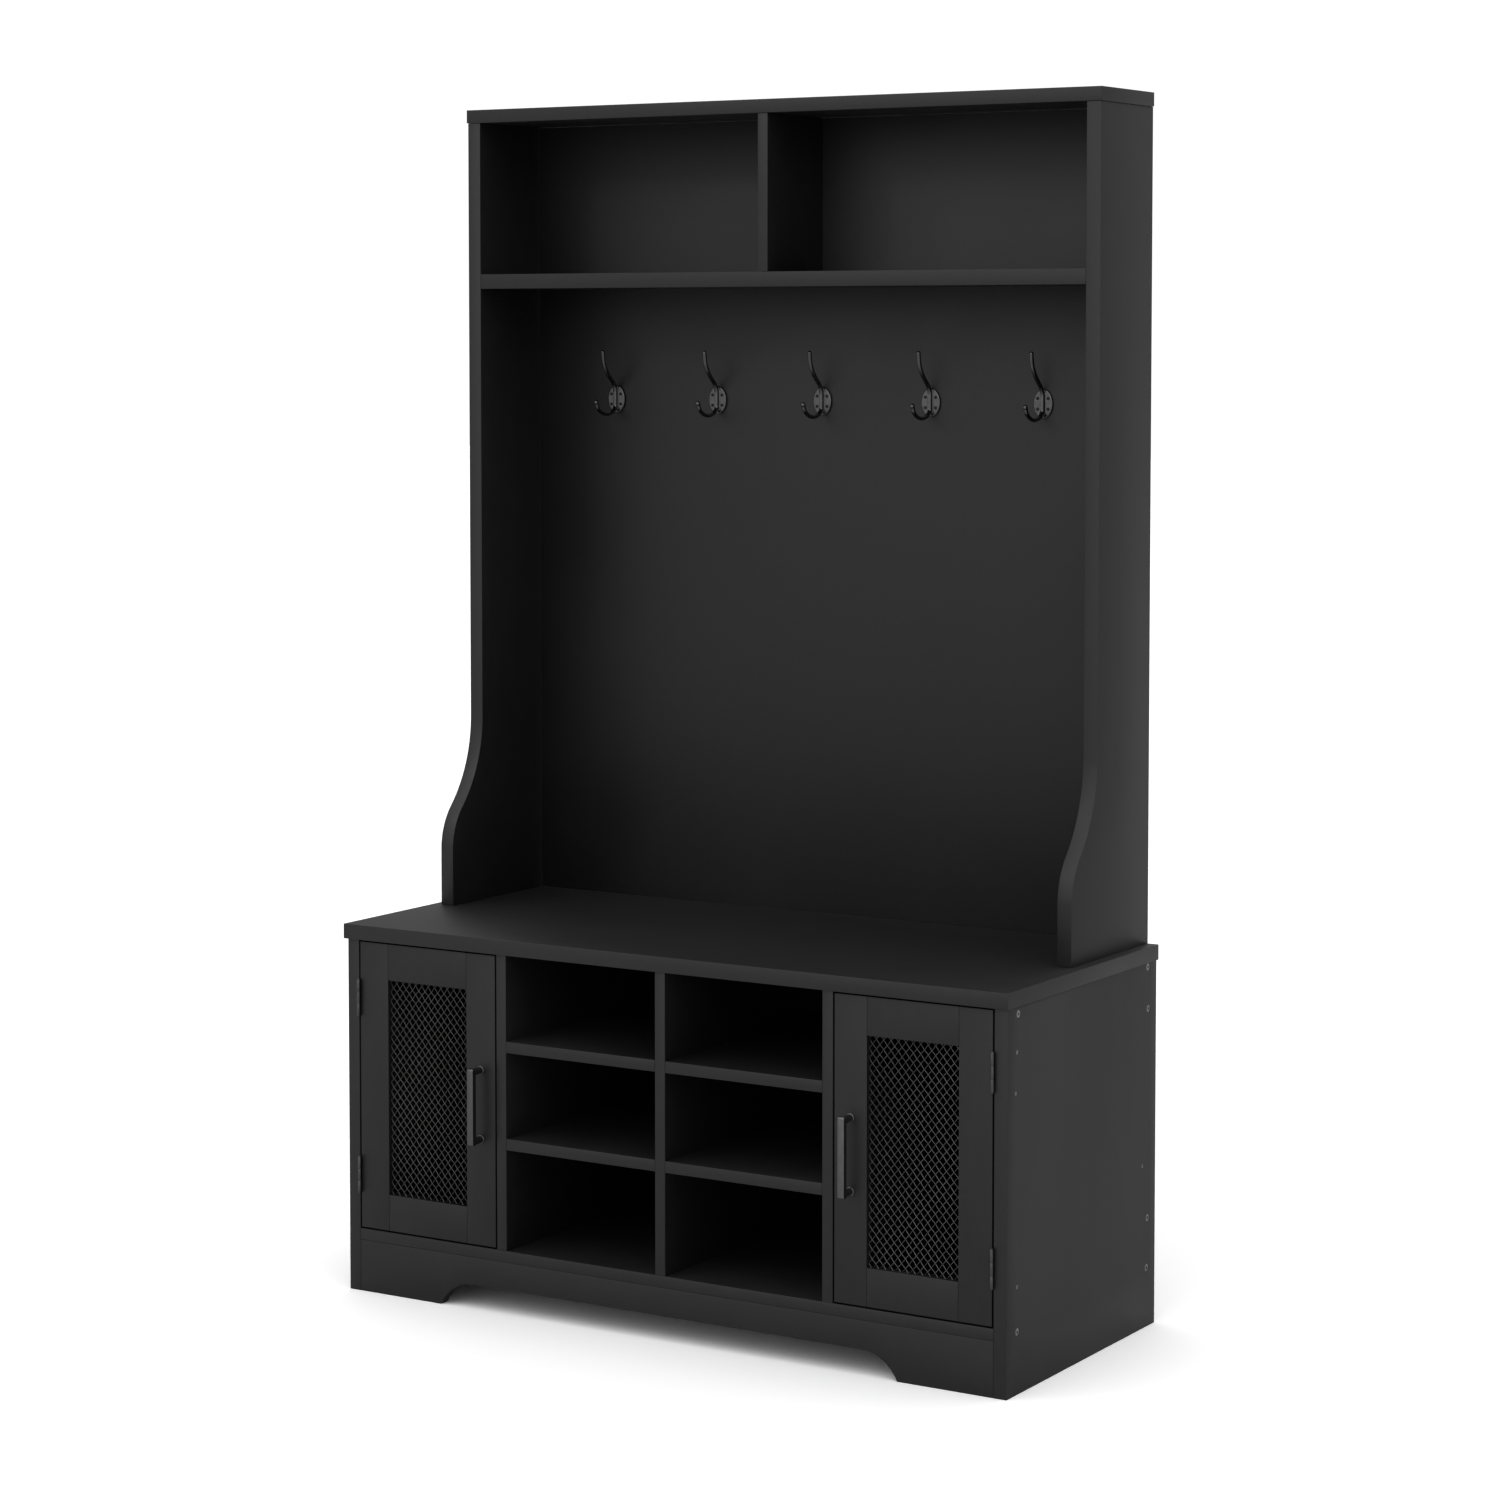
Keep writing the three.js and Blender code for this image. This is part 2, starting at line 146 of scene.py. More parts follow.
def addFloor():
    bpy.ops.mesh.primitive_plane_add(size=studio["floorSize"], location=(0, 0, 0))
    floor = bpy.context.object
    floor.name = "studioFloor"
    finish = bpy.data.materials.new("studioFloorPaint")
    finish.use_nodes = True
    tree = finish.node_tree
    shader = tree.nodes["Principled BSDF"]
    path = tree.nodes.new("ShaderNodeLightPath")
    tone = tree.nodes.new("ShaderNodeMapRange")
    tone.inputs["To Min"].default_value = studio["floorBounce"]
    tone.inputs["To Max"].default_value = studio["floorTone"]
    tree.links.new(path.outputs["Is Camera Ray"], tone.inputs["Value"])
    tree.links.new(tone.outputs[0], shader.inputs["Base Color"])
    shader.inputs["Roughness"].default_value = 1.0
    shader.inputs["Specular IOR Level"].default_value = 0.0
    floor.data.materials.append(finish)


bpy.context.scene.view_settings.view_transform = "Standard"
addCamera()
addWorld()
addFloor()
addLamp("keyLamp", studio["keyPlace"], studio["keyTarget"], studio["keySize"], studio["keyPower"])
print("studio ready")


# shared effects, each a node group built once


def addNode(tree, kind, inputs=None, **settings):
    node = tree.nodes.new(kind)
    for key, value in settings.items():
        setattr(node, key, value)
    for key, value in (inputs or {}).items():
        node.inputs[key].default_value = value
    return node


def newGroup(name, inputs, outputs):
    group = bpy.data.node_groups.new(name, "ShaderNodeTree")
    for label, kind, value in inputs:
        socket = group.interface.new_socket(name=label, in_out="INPUT", socket_type=kind)
        if value is not None:
            socket.default_value = value
    for label in outputs:
        group.interface.new_socket(name=label, in_out="OUTPUT", socket_type="NodeSocketFloat")
    return group, group.nodes.new("NodeGroupInput"), group.nodes.new("NodeGroupOutput")


# fine pressed grain of a laminate, with pores and slow cloudiness
def makeGrainGroup():
    group, given, out = newGroup(
        "pressedGrain",
        [
            ("Vector", "NodeSocketVector", None),
            ("Grain Scale", "NodeSocketFloat", 60.0),
            ("Cloud Scale", "NodeSocketFloat", 4.0),
        ],
        ["Grain", "Pores", "Clouds"],
    )
    for label, scale, detail, rough in (
        ("Grain", "Grain Scale", 6.0, 0.6),
        ("Clouds", "Cloud Scale", 3.0, 0.5),
    ):
        noise = addNode(group, "ShaderNodeTexNoise", {"Detail": detail, "Roughness": rough})
        group.links.new(given.outputs["Vector"], noise.inputs["Vector"])
        group.links.new(given.outputs[scale], noise.inputs["Scale"])
        group.links.new(noise.outputs[0], out.inputs[label])
    times = addNode(group, "ShaderNodeMath", {1: 5.0}, operation="MULTIPLY")
    pores = addNode(group, "ShaderNodeTexVoronoi", {"Randomness": 1.0})
    spread = addNode(group, "ShaderNodeMapRange", {"From Min": 0.05, "From Max": 0.35})
    group.links.new(given.outputs["Grain Scale"], times.inputs[0])
    group.links.new(times.outputs[0], pores.inputs["Scale"])
    group.links.new(given.outputs["Vector"], pores.inputs["Vector"])
    group.links.new(pores.outputs["Distance"], spread.inputs["Value"])
    group.links.new(spread.outputs[0], out.inputs["Pores"])
    return group


# thin dust on faces that look up, in soft patches
def makeDustGroup():
    group, given, out = newGroup(
        "restingDust",
        [("Vector", "NodeSocketVector", None), ("Amount", "NodeSocketFloat", 0.1)],
        ["Dust"],
    )
    face = addNode(group, "ShaderNodeNewGeometry")
    split = addNode(group, "ShaderNodeSeparateXYZ")
    upward = addNode(group, "ShaderNodeMapRange", {"From Min": 0.6, "From Max": 1.0})
    patches = addNode(group, "ShaderNodeTexNoise", {"Scale": 9.0, "Detail": 8.0})
    share = addNode(group, "ShaderNodeMath", operation="MULTIPLY")
    amount = addNode(group, "ShaderNodeMath", operation="MULTIPLY")
    group.links.new(face.outputs["Normal"], split.inputs[0])
    group.links.new(split.outputs["Z"], upward.inputs["Value"])
    group.links.new(given.outputs["Vector"], patches.inputs["Vector"])
    group.links.new(upward.outputs[0], share.inputs[0])
    group.links.new(patches.outputs[0], share.inputs[1])
    group.links.new(share.outputs[0], amount.inputs[0])
    group.links.new(given.outputs["Amount"], amount.inputs[1])
    group.links.new(amount.outputs[0], out.inputs["Dust"])
    return group


grainGroup = makeGrainGroup()
dustGroup = makeDustGroup()

# finishes: dark and light are the two tones that the grain moves between

laminate = {
    "dark": 0.0050, "light": 0.0080, "rough": (0.44, 0.54), "grainScale": 45.0,
    "bump": 0.10, "depth": 0.05 * mm, "dust": 0.002,
}
finishes = {
    "laminateAlongX": {**laminate, "stretch": (0.35, 1, 1)},
    "laminateAlongY": {**laminate, "stretch": (1, 0.35, 1)},
    "laminateAlongZ": {**laminate, "stretch": (1, 1, 0.35)},
    "edgeBand": {
        "dark": 0.0065, "light": 0.0095, "rough": (0.38, 0.48), "grainScale": 90.0,
        "stretch": (1, 1, 1), "bump": 0.08, "depth": 0.04 * mm, "dust": 0.002,
    },
    "easedHighlight": {  # rounded edges, painted lighter as a highlight along each edge, and glossier as if burnished by handling
        "dark": 0.0065, "light": 0.0115, "rough": (0.34, 0.46), "grainScale": 60.0,
        "stretch": (1, 1, 1), "bump": 0.08, "depth": 0.04 * mm, "dust": 0.002,
    },
    "backBoard": {
        "dark": 0.0045, "light": 0.0070, "rough": (0.46, 0.56), "grainScale": 70.0,
        "stretch": (1, 1, 1), "bump": 0.14, "depth": 0.06 * mm, "dust": 0.0,
    },
    "doorBoard": {
        "dark": 0.0052, "light": 0.0084, "rough": (0.42, 0.52), "grainScale": 50.0,
        "stretch": (1, 1, 0.4), "bump": 0.10, "depth": 0.05 * mm, "dust": 0.001,
    },
    "wireBlack": {
        "dark": 0.07, "light": 0.15, "rough": (0.24, 0.36), "grainScale": 220.0,
        "stretch": (1, 1, 1), "bump": 0.20, "depth": 0.05 * mm, "dust": 0.0, "metal": 1.0,
    },
    "hookEnamel": {
        "dark": 0.09, "light": 0.13, "rough": (0.20, 0.30), "grainScale": 120.0,
        "stretch": (1, 1, 1), "bump": 0.10, "depth": 0.04 * mm, "dust": 0.0, "metal": 1.0,
    },
    "screwBlack": {
        "dark": 0.02, "light": 0.04, "rough": (0.25, 0.38), "grainScale": 300.0,
        "stretch": (1, 1, 1), "bump": 0.12, "depth": 0.03 * mm, "dust": 0.0, "metal": 1.0,
    },
    "handleCoat": {
        "dark": 0.12, "light": 0.16, "rough": (0.28, 0.36), "grainScale": 260.0,
        "stretch": (1, 1, 0.3), "bump": 0.12, "depth": 0.03 * mm, "dust": 0.0, "metal": 1.0,
    },
    "nickelSteel": {
        "dark": 0.075, "light": 0.125, "rough": (0.30, 0.42), "grainScale": 300.0,
        "stretch": (1, 1, 0.2), "bump": 0.15, "depth": 0.03 * mm, "dust": 0.0, "metal": 1.0,
    },
    "zincSteel": {
        "dark": 0.20, "light": 0.36, "rough": (0.24, 0.38), "grainScale": 400.0,
        "stretch": (1, 1, 1), "bump": 0.15, "depth": 0.03 * mm, "dust": 0.0, "metal": 1.0,
    },
    "catchPlastic": {
        "dark": 0.008, "light": 0.013, "rough": (0.45, 0.6), "grainScale": 350.0,
        "stretch": (1, 1, 1), "bump": 0.3, "depth": 0.04 * mm, "dust": 0.0,
    },
}


def makeFinish(name):
    look = finishes[name]
    material = bpy.data.materials.new(name)
    material.use_nodes = True
    tree = material.node_tree
    shader = tree.nodes["Principled BSDF"]
    place = addNode(tree, "ShaderNodeTexCoord")
    turn = addNode(tree, "ShaderNodeMapping", {"Scale": look["stretch"]})
    grain = addNode(tree, "ShaderNodeGroup", node_tree=grainGroup)
    grain.inputs["Grain Scale"].default_value = look["grainScale"]
    dust = addNode(tree, "ShaderNodeGroup", node_tree=dustGroup)
    dust.inputs["Amount"].default_value = look["dust"]
    tree.links.new(place.outputs["Object"], turn.inputs["Vector"])
    tree.links.new(turn.outputs[0], grain.inputs["Vector"])
    tree.links.new(place.outputs["Object"], dust.inputs["Vector"])
    # tone: the grain between the two tones, then the dust over it
    blend = addNode(tree, "ShaderNodeMath", operation="MULTIPLY")
    tone = addNode(tree, "ShaderNodeMapRange")
    tone.inputs["To Min"].default_value = look["dark"]
    tone.inputs["To Max"].default_value = look["light"]
    dusty = addNode(tree, "ShaderNodeMath", operation="ADD")
    tree.links.new(grain.outputs["Grain"], blend.inputs[0])
    tree.links.new(grain.outputs["Clouds"], blend.inputs[1])
    spread = addNode(tree, "ShaderNodeMapRange", {"From Min": 0.15, "From Max": 0.38})
    tree.links.new(blend.outputs[0], spread.inputs["Value"])
    tree.links.new(spread.outputs[0], tone.inputs["Value"])
    tree.links.new(tone.outputs[0], dusty.inputs[0])
    tree.links.new(dust.outputs["Dust"], dusty.inputs[1])
    tree.links.new(dusty.outputs[0], shader.inputs["Base Color"])
    # gloss follows the slow clouds, as smudges and rubbing do
    gloss = addNode(tree, "ShaderNodeMapRange", {"From Min": 0.3, "From Max": 0.7})
    gloss.inputs["To Min"].default_value, gloss.inputs["To Max"].default_value = look["rough"]
    tree.links.new(grain.outputs["Clouds"], gloss.inputs["Value"])
    tree.links.new(gloss.outputs[0], shader.inputs["Roughness"])
    # relief: grain with pores pressed into it
    relief = addNode(tree, "ShaderNodeMath", operation="ADD")
    bump = addNode(tree, "ShaderNodeBump", {"Strength": look["bump"], "Distance": look["depth"]})
    tree.links.new(grain.outputs["Grain"], relief.inputs[0])
    tree.links.new(grain.outputs["Pores"], relief.inputs[1])
    tree.links.new(relief.outputs[0], bump.inputs["Height"])
    tree.links.new(bump.outputs[0], shader.inputs["Normal"])
    shader.inputs["Metallic"].default_value = look.get("metal", 0.0)
    return material


looks = {name: makeFinish(name) for name in finishes}
print("finishes ready")


# working steps

hair = 1e-5  # closer than this counts as the same place
sharpAngle = 40  # degrees between two faces


def deselect():
    if bpy.context.object and bpy.context.object.mode != "OBJECT":
        bpy.ops.object.mode_set(mode="OBJECT")
    bpy.ops.object.select_all(action="DESELECT")


def select(*pieces):
    deselect()
    for piece in pieces:
        piece.select_set(True)
    bpy.context.view_layer.objects.active = pieces[0]


def settle(piece):
    select(piece)
    bpy.ops.object.transform_apply(location=True, rotation=True, scale=True)


def paint(piece, *names):
    for name in names:
        piece.data.materials.append(looks[name])


# selects what passes the test, in edit mode
def pick(piece, test, kind="EDGE"):
    bpy.ops.mesh.select_mode(type=kind)
    bpy.ops.mesh.select_all(action="DESELECT")
    shape = bmesh.from_edit_mesh(piece.data)
    for item in {"VERT": shape.verts, "EDGE": shape.edges, "FACE": shape.faces}[kind]:
        if test(item):
            item.select_set(True)
    bmesh.update_edit_mesh(piece.data)


def addBlock(low, high):
    deselect()
    low, high = Vector(low), Vector(high)
    bpy.ops.mesh.primitive_cube_add(size=1, location=(low + high) / 2, scale=high - low)
    block = bpy.context.object
    settle(block)
    return block


def addRod(start, end, radius, sides=32):
    deselect()
    start, end = Vector(start), Vector(end)
    run = end - start
    turn = run.to_track_quat("Z", "Y").to_euler()
    bpy.ops.mesh.primitive_cylinder_add(
        vertices=sides, radius=radius, depth=run.length, location=(start + end) / 2, rotation=turn
    )
    rod = bpy.context.object
    settle(rod)
    return rod


# rounds the edges that pass the test; the new faces take the piece's last material
def roundEdges(piece, radius, segments=3, test=lambda edge: True):
    select(piece)
    bpy.ops.object.mode_set(mode="EDIT")
    pick(piece, test)
    last = max(len(piece.data.materials) - 1, 0)
    bpy.ops.mesh.bevel(
        offset=radius, segments=segments, profile=0.5, affect="EDGES", material=last, clamp_overlap=True
    )
    bpy.ops.object.mode_set(mode="OBJECT")


def sharp(edge):
    return len(edge.link_faces) == 2 and edge.calc_face_angle() > math.radians(sharpAngle)


def applyModifier(piece, kind, **settings):
    select(piece)
    step = piece.modifiers.new(kind.lower(), kind)
    for key, value in settings.items():
        setattr(step, key, value)
    bpy.ops.object.modifier_apply(modifier=step.name)


def cutFrom(piece, cutter):
    applyModifier(piece, "BOOLEAN", operation="DIFFERENCE", solver="EXACT", object=cutter)


def weld(piece, other):
    applyModifier(piece, "BOOLEAN", operation="UNION", solver="EXACT", object=other)
    bpy.data.objects.remove(other)


def joined(pieces):
    select(*pieces)
    if len(pieces) > 1:
        bpy.ops.object.join()
    return pieces[0]


def copied(piece, shift=(0, 0, 0), turnZ=0.0):
    select(piece)
    twin = piece.copy()
    twin.data = piece.data.copy()
    bpy.context.scene.collection.objects.link(twin)
    twin.rotation_euler.z = turnZ
    twin.location = shift
    settle(twin)
    return twin


def finishPiece(piece, name, body, slotName, *stoodFor, angle=35):
    select(piece)
    piece.name = name
    piece.data.name = name
    bpy.ops.object.shade_smooth_by_angle(angle=math.radians(angle))
    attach(piece, body)
    if stoodFor:
        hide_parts(*stoodFor)
    return piece


# boards: a laminated core with a strip of edge band on each edge that shows

boards = {
    "coreEase": 0.25 * mm,
    "bandEase": 0.4 * mm,
    "bandThickness": 0.9 * mm,
    "bandLimit": 0.45,  # largest rounding, as a share of the band's thickness
    "along": {"X": "laminateAlongX", "Y": "laminateAlongY", "Z": "laminateAlongZ"},
}
# axis and end of each side of a board
bandSides = {"left": (0, 0), "right": (0, 1), "front": (1, 0), "back": (1, 1)}


def longestWay(low, high):
    size = high - low
    return "XYZ"[max(range(3), key=lambda i: size[i])]


def buildBoard(node, bands=("front",), face=None):
    low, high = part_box(node)
    corners = [low.copy(), high.copy()]
    strips = []
    for side in bands:
        axis, end = bandSides[side]
        strip = [corners[0].copy(), corners[1].copy()]
        inner = corners[end][axis] + (1 - 2 * end) * boards["bandThickness"]
        strip[1 - end][axis] = inner
        corners[end][axis] = inner
        strips.append(strip)
    core = addBlock(*corners)
    # the rounded edges take the eased finish, painted lighter as a highlight along the edges
    paint(core, face or boards["along"][longestWay(low, high)], "easedHighlight")
    roundEdges(core, boards["coreEase"], 2)
    pieces = [core]
    for strip in strips:
        band = addBlock(*strip)
        paint(band, "edgeBand", "easedHighlight")
        roundEdges(band, min(boards["bandEase"], boards["bandThickness"] * boards["bandLimit"]), 3)
        pieces.append(band)
    return joined(pieces)


def buildPlainBoards():
    frontOnly = ["partition_left", "partition_right", "center_divider"]
    frontOnly += [f"cubby_shelf_{level}_{hand}" for level in ("upper", "lower") for hand in hands]
    frontOnly += ["bottom_panel", "hutch_shelf", "hutch_divider"]
    shown = {node: ("front",) for node in frontOnly}
    shown["bench_top"] = shown["hutch_top"] = ("front", "left", "right", "back")
    for node, bands in shown.items():
        finishPiece(buildBoard(node, bands), f"{node}_board", "carcass", "laminate", node)
    for node in ("base_back_panel", "hutch_back_panel"):
        panel = buildBoard(node, (), "backBoard")
        finishPiece(panel, f"{node}_sheet", "carcass", "back_board", node)


buildPlainBoards()
print("plain boards ready")

# boards with a shaped edge: the hutch sides and the kick board

sweep = {
    "upperDepth": 149.7 * mm,
    "bottom": 575 * mm,
    "top": 755 * mm,
    "share": 0.68,  # the hollow's part of the whole curve
    "steps": 14,
}
kickCut = {
    "halfWidth": 347 * mm,
    "height": 33 * mm,
    "radius": 57.5 * mm,
    "steps": 16,
    "ease": 0.6 * mm,
}


# a flat strip between two rows of points, drawn out by its thickness
def addShapedBoard(rowA, rowB, thickness):
    deselect()
    bpy.ops.mesh.primitive_plane_add(size=1)
    board = bpy.context.object
    bpy.ops.object.mode_set(mode="EDIT")
    pick(board, lambda v: v.co.y > 0, "VERT")
    bpy.ops.mesh.delete(type="VERT")
    shape = bmesh.from_edit_mesh(board.data)
    for vert, point in zip(shape.verts, (rowA[0], rowB[0])):
        vert.co = point
    bmesh.update_edit_mesh(board.data)
    for i in range(1, len(rowA)):
        bpy.ops.mesh.select_mode(type="EDGE")
        stepA = Vector(rowA[i]) - Vector(rowA[i - 1])
        stepB = Vector(rowB[i]) - Vector(rowB[i - 1])
        lastB = Vector(rowB[i - 1]) + stepA
        pick(board, lambda e, k=i: endsAt(e, rowA[k - 1], rowB[k - 1]))
        bpy.ops.mesh.extrude_region_move(TRANSFORM_OT_translate={"value": stepA})
        if (stepB - stepA).length > 1e-7:
            pick(board, lambda v: (v.co - lastB).length < 1e-6, "VERT")
            bpy.ops.transform.translate(value=stepB - stepA)
    bpy.ops.mesh.select_mode(type="FACE")
    bpy.ops.mesh.select_all(action="SELECT")
    bpy.ops.mesh.extrude_region_move(TRANSFORM_OT_translate={"value": thickness})
    bpy.ops.mesh.select_all(action="SELECT")
    bpy.ops.mesh.normals_make_consistent(inside=False)
    bpy.ops.object.mode_set(mode="OBJECT")
    return board


def endsAt(edge, a, b):
    places = [v.co for v in edge.verts]
    return any((p - Vector(a)).length < 1e-6 for p in places) and any(
        (p - Vector(b)).length < 1e-6 for p in places
    )


# depths in front of the back edge with their heights, from the foot up
def sweepPoints(low, high):
    foot = high.y - low.y
    rise = sweep["top"] - sweep["bottom"]
    lean = 2 * math.atan2(foot - sweep["upperDepth"], rise)
    radii = rise / math.sin(lean)
    hollow = radii * sweep["share"]
    bulge = radii - hollow
    points = [(foot, low.z)]
    for i in range(sweep["steps"] + 1):
        turn = lean * i / sweep["steps"]
        points.append((foot - bulge + bulge * math.cos(turn), sweep["bottom"] + bulge * math.sin(turn)))
    for i in range(sweep["steps"] - 1, -1, -1):
        turn = lean * i / sweep["steps"]
        depth = sweep["upperDepth"] + hollow - hollow * math.cos(turn)
        points.append((depth, sweep["top"] - hollow * math.sin(turn)))
    points.append((sweep["upperDepth"], high.z))
    return points


def buildHutchSides():
    thin = boards["bandThickness"]
    for hand in hands:
        node = f"hutch_side_{hand}"
        low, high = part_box(node)
        points = sweepPoints(low, high)
        across = Vector((high.x - low.x, 0, 0))
        edge = [(low.x, high.y - depth, z) for depth, z in points]
        inner = [(low.x, high.y - depth + thin, z) for depth, z in points]
        back = [(low.x, high.y, z) for depth, z in points]
        core = addShapedBoard(inner, back, across)
        # the rounded edges take the eased finish, painted lighter as a highlight along the edges
        paint(core, "laminateAlongZ", "easedHighlight")
        roundEdges(core, boards["coreEase"], 2, sharp)
        band = addShapedBoard(edge, inner, across)
        paint(band, "edgeBand", "easedHighlight")
        roundEdges(band, thin * boards["bandLimit"], 3, sharp)
        finishPiece(joined([core, band]), f"{node}_board", "carcass", "laminate", node)


def buildKickBoard():
    low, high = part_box("kick_board")
    drop = kickCut["radius"] - kickCut["height"]
    run = math.sqrt(kickCut["radius"] ** 2 - drop**2)
    middle = kickCut["halfWidth"] - run
    start = math.atan2(drop, run)
    half = [(low.x, low.z)]
    for i in range(kickCut["steps"] + 1):
        turn = math.pi - start - (math.pi / 2 - start) * i / kickCut["steps"]
        x = -middle + kickCut["radius"] * math.cos(turn)
        half.append((x, low.z - drop + kickCut["radius"] * math.sin(turn)))
    bottom = half + [(-x, z) for x, z in reversed(half)]
    rowA = [(x, low.y, z) for x, z in bottom]
    rowB = [(x, low.y, high.z) for x, z in bottom]
    board = addShapedBoard(rowA, rowB, Vector((0, high.y - low.y, 0)))
    # the rounded edges take the eased finish, painted lighter as a highlight along the edges
    paint(board, "laminateAlongX", "easedHighlight")
    roundEdges(board, kickCut["ease"], 3, sharp)
    finishPiece(board, "kick_board_shaped", "carcass", "laminate", "kick_board")


buildHutchSides()
buildKickBoard()
print("shaped boards ready")

# base sides with the screws that show in them

# depth in front of the back edge and height of each screw in a side
sideScrews = {
    "large": [(386, 467), (25, 471), (23.5, 416.6), (22.5, 142.7)],
    "small": [(389, 420.6), (392, 370.8), (386.6, 132.8), (37.8, 213.4)],
    "largeRadius": 4.8 * mm,
    "smallRadius": 2.6 * mm,
    "ring": 0.25 * mm,  # dark gap round a head
    "sunk": 0.15 * mm,
    "length": 46 * mm,
    "shankShare": 0.62,
    "smallShare": 0.5,  # a small screw's share of the length
    "headDepth": 2.2 * mm,
    "shankStart": 2.0 * mm,
    "socketDepth": 1.4 * mm,
    "socketShare": 0.46,
    "easeShare": 0.08,
    "boreReach": 3 * mm,
}


# modelled at the origin, head out along +X
def addSideScrew(radius, length):
    shank = radius * sideScrews["shankShare"]
    screw = addRod((-sideScrews["headDepth"], 0, 0), (0, 0, 0), radius)
    roundEdges(screw, radius * sideScrews["easeShare"], 2, sharp)
    weld(screw, addRod((-length, 0, 0), (-sideScrews["shankStart"], 0, 0), shank, 24))
    wide = radius * sideScrews["socketShare"]
    socket = addRod((-sideScrews["socketDepth"], 0, 0), (1 * mm, 0, 0), wide, 6)
    cutFrom(screw, socket)
    bpy.data.objects.remove(socket)
    paint(screw, "zincSteel")
    return screw


def buildSides():
    models = {
        kind: addSideScrew(sideScrews[f"{kind}Radius"], sideScrews["length"] * share)
        for kind, share in (("large", 1.0), ("small", sideScrews["smallShare"]))
    }
    for hand, side in hands.items():
        node = f"base_side_{hand}"
        low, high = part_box(node)
        board = buildBoard(node, ("front",))
        outer = high.x if side > 0 else low.x
        places = []
        for kind in models:
            places += [(kind, high.y - d * mm, z * mm, None) for d, z in sideScrews[kind]]
        for place in ("front", "rear"):
            screwNode = f"confirmat_screw_{hand}_{place}"
            a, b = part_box(screwNode)
            places.append(("large", (a.y + b.y) / 2, (a.z + b.z) / 2, screwNode))
        bores = []
        for number, (kind, y, z, screwNode) in enumerate(places, 1):
            radius = sideScrews[f"{kind}Radius"] + sideScrews["ring"]
            reach = side * sideScrews["boreReach"]
            bores.append(addRod((outer - reach, y, z), (outer + reach, y, z), radius))
            x = outer - side * sideScrews["sunk"]
            screw = copied(models[kind], (x, y, z), 0.0 if side > 0 else math.pi)
            stoodFor = [screwNode] if screwNode else []
            finishPiece(screw, f"side_screw_{hand}_{number}", "carcass", "screw_zinc", *stoodFor)
        cutter = joined(bores)
        cutFrom(board, cutter)
        bpy.data.objects.remove(cutter)
        finishPiece(board, f"{node}_board", "carcass", "laminate", node)
    for model in models.values():
        bpy.data.objects.remove(model)


buildSides()
print("base sides ready")

# doors: grooved frame, woven mesh, handle

doorFrame = {"ease": 0.4 * mm, "grooveWidth": 2.6 * mm, "grooveSpare": 0.3 * mm}
wire = {
    "pitchX": 10.4 * mm,  # across one diamond
    "pitchZ": 12.2 * mm,
    "radius": 0.56 * mm,
    "wave": 0.45 * mm,
    "steps": 8,  # along one weave
    "sides": 6,
}


def buildDoorFrame(hand):
    sheetLow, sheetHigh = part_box(f"door_{hand}_mesh_panel")
    middle = (sheetLow.y + sheetHigh.y) / 2
    spare = Vector((doorFrame["grooveSpare"], 0, doorFrame["grooveSpare"]))
    low, high = sheetLow - spare, sheetHigh + spare
    low.y, high.y = middle - doorFrame["grooveWidth"] / 2, middle + doorFrame["grooveWidth"] / 2
    cutter = addBlock(low, high)
    for part in ("inner_stile", "outer_stile", "top_rail", "bottom_rail"):
        node = f"door_{hand}_{part}"
        member = addBlock(*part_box(node))
        # the rounded edges take the eased finish, painted lighter as a highlight along the edges
        paint(member, "doorBoard", "easedHighlight")
        roundEdges(member, doorFrame["ease"], 3)
        cutFrom(member, cutter)
        finishPiece(member, f"{node}_board", doorBody[hand], "door_board", node)
    bpy.data.objects.remove(cutter)


# one weave of one wire, repeated along the wire and then across the door
def addWires(low, high):
    deselect()
    pitchX, pitchZ = wire["pitchX"], wire["pitchZ"]
    middle = (low + high) / 2
    weaves = 2 * (math.ceil((high.z - low.z) / pitchZ / 2) + 1)
    wires = math.ceil((high.x - low.x) / pitchX) + weaves + 1
    start = Vector((low.x - weaves * pitchX, middle.y + wire["wave"], middle.z - weaves / 2 * pitchZ))
    bpy.ops.mesh.primitive_circle_add(
        vertices=wire["sides"],
        radius=wire["radius"],
        fill_type="NOTHING",
        location=start,
        rotation=(0, math.atan2(pitchX, pitchZ), 0),
    )
    strand = bpy.context.object
    settle(strand)
    bpy.ops.object.mode_set(mode="EDIT")
    bpy.ops.mesh.select_all(action="SELECT")
    for i in range(wire["steps"]):
        here, there = (2 * math.pi * k / wire["steps"] for k in (i, i + 1))
        sway = wire["wave"] * (math.cos(there) - math.cos(here))
        step = (pitchX / wire["steps"], sway, pitchZ / wire["steps"])
        bpy.ops.mesh.extrude_region_move(TRANSFORM_OT_translate={"value": step})
    bpy.ops.object.mode_set(mode="OBJECT")
    for count, offset in ((weaves, (pitchX, 0, pitchZ)), (wires, (pitchX, 0, 0))):
        applyModifier(
            strand,
            "ARRAY",
            count=count,
            use_relative_offset=False,
            use_constant_offset=True,
            constant_offset_displace=offset,
            use_merge_vertices=count == weaves,
            merge_threshold=0.02 * mm,
        )
    return strand


def trimToSheet(piece, low, high):
    select(piece)
    bpy.ops.object.mode_set(mode="EDIT")
    for place, normal in (
        (low, (-1, 0, 0)),
        (high, (1, 0, 0)),
        (low, (0, 0, -1)),
        (high, (0, 0, 1)),
    ):
        bpy.ops.mesh.select_all(action="SELECT")
        bpy.ops.mesh.bisect(plane_co=place, plane_no=normal, use_fill=True, clear_outer=True)
    bpy.ops.mesh.select_all(action="SELECT")
    bpy.ops.mesh.normals_make_consistent(inside=False)
    bpy.ops.object.mode_set(mode="OBJECT")


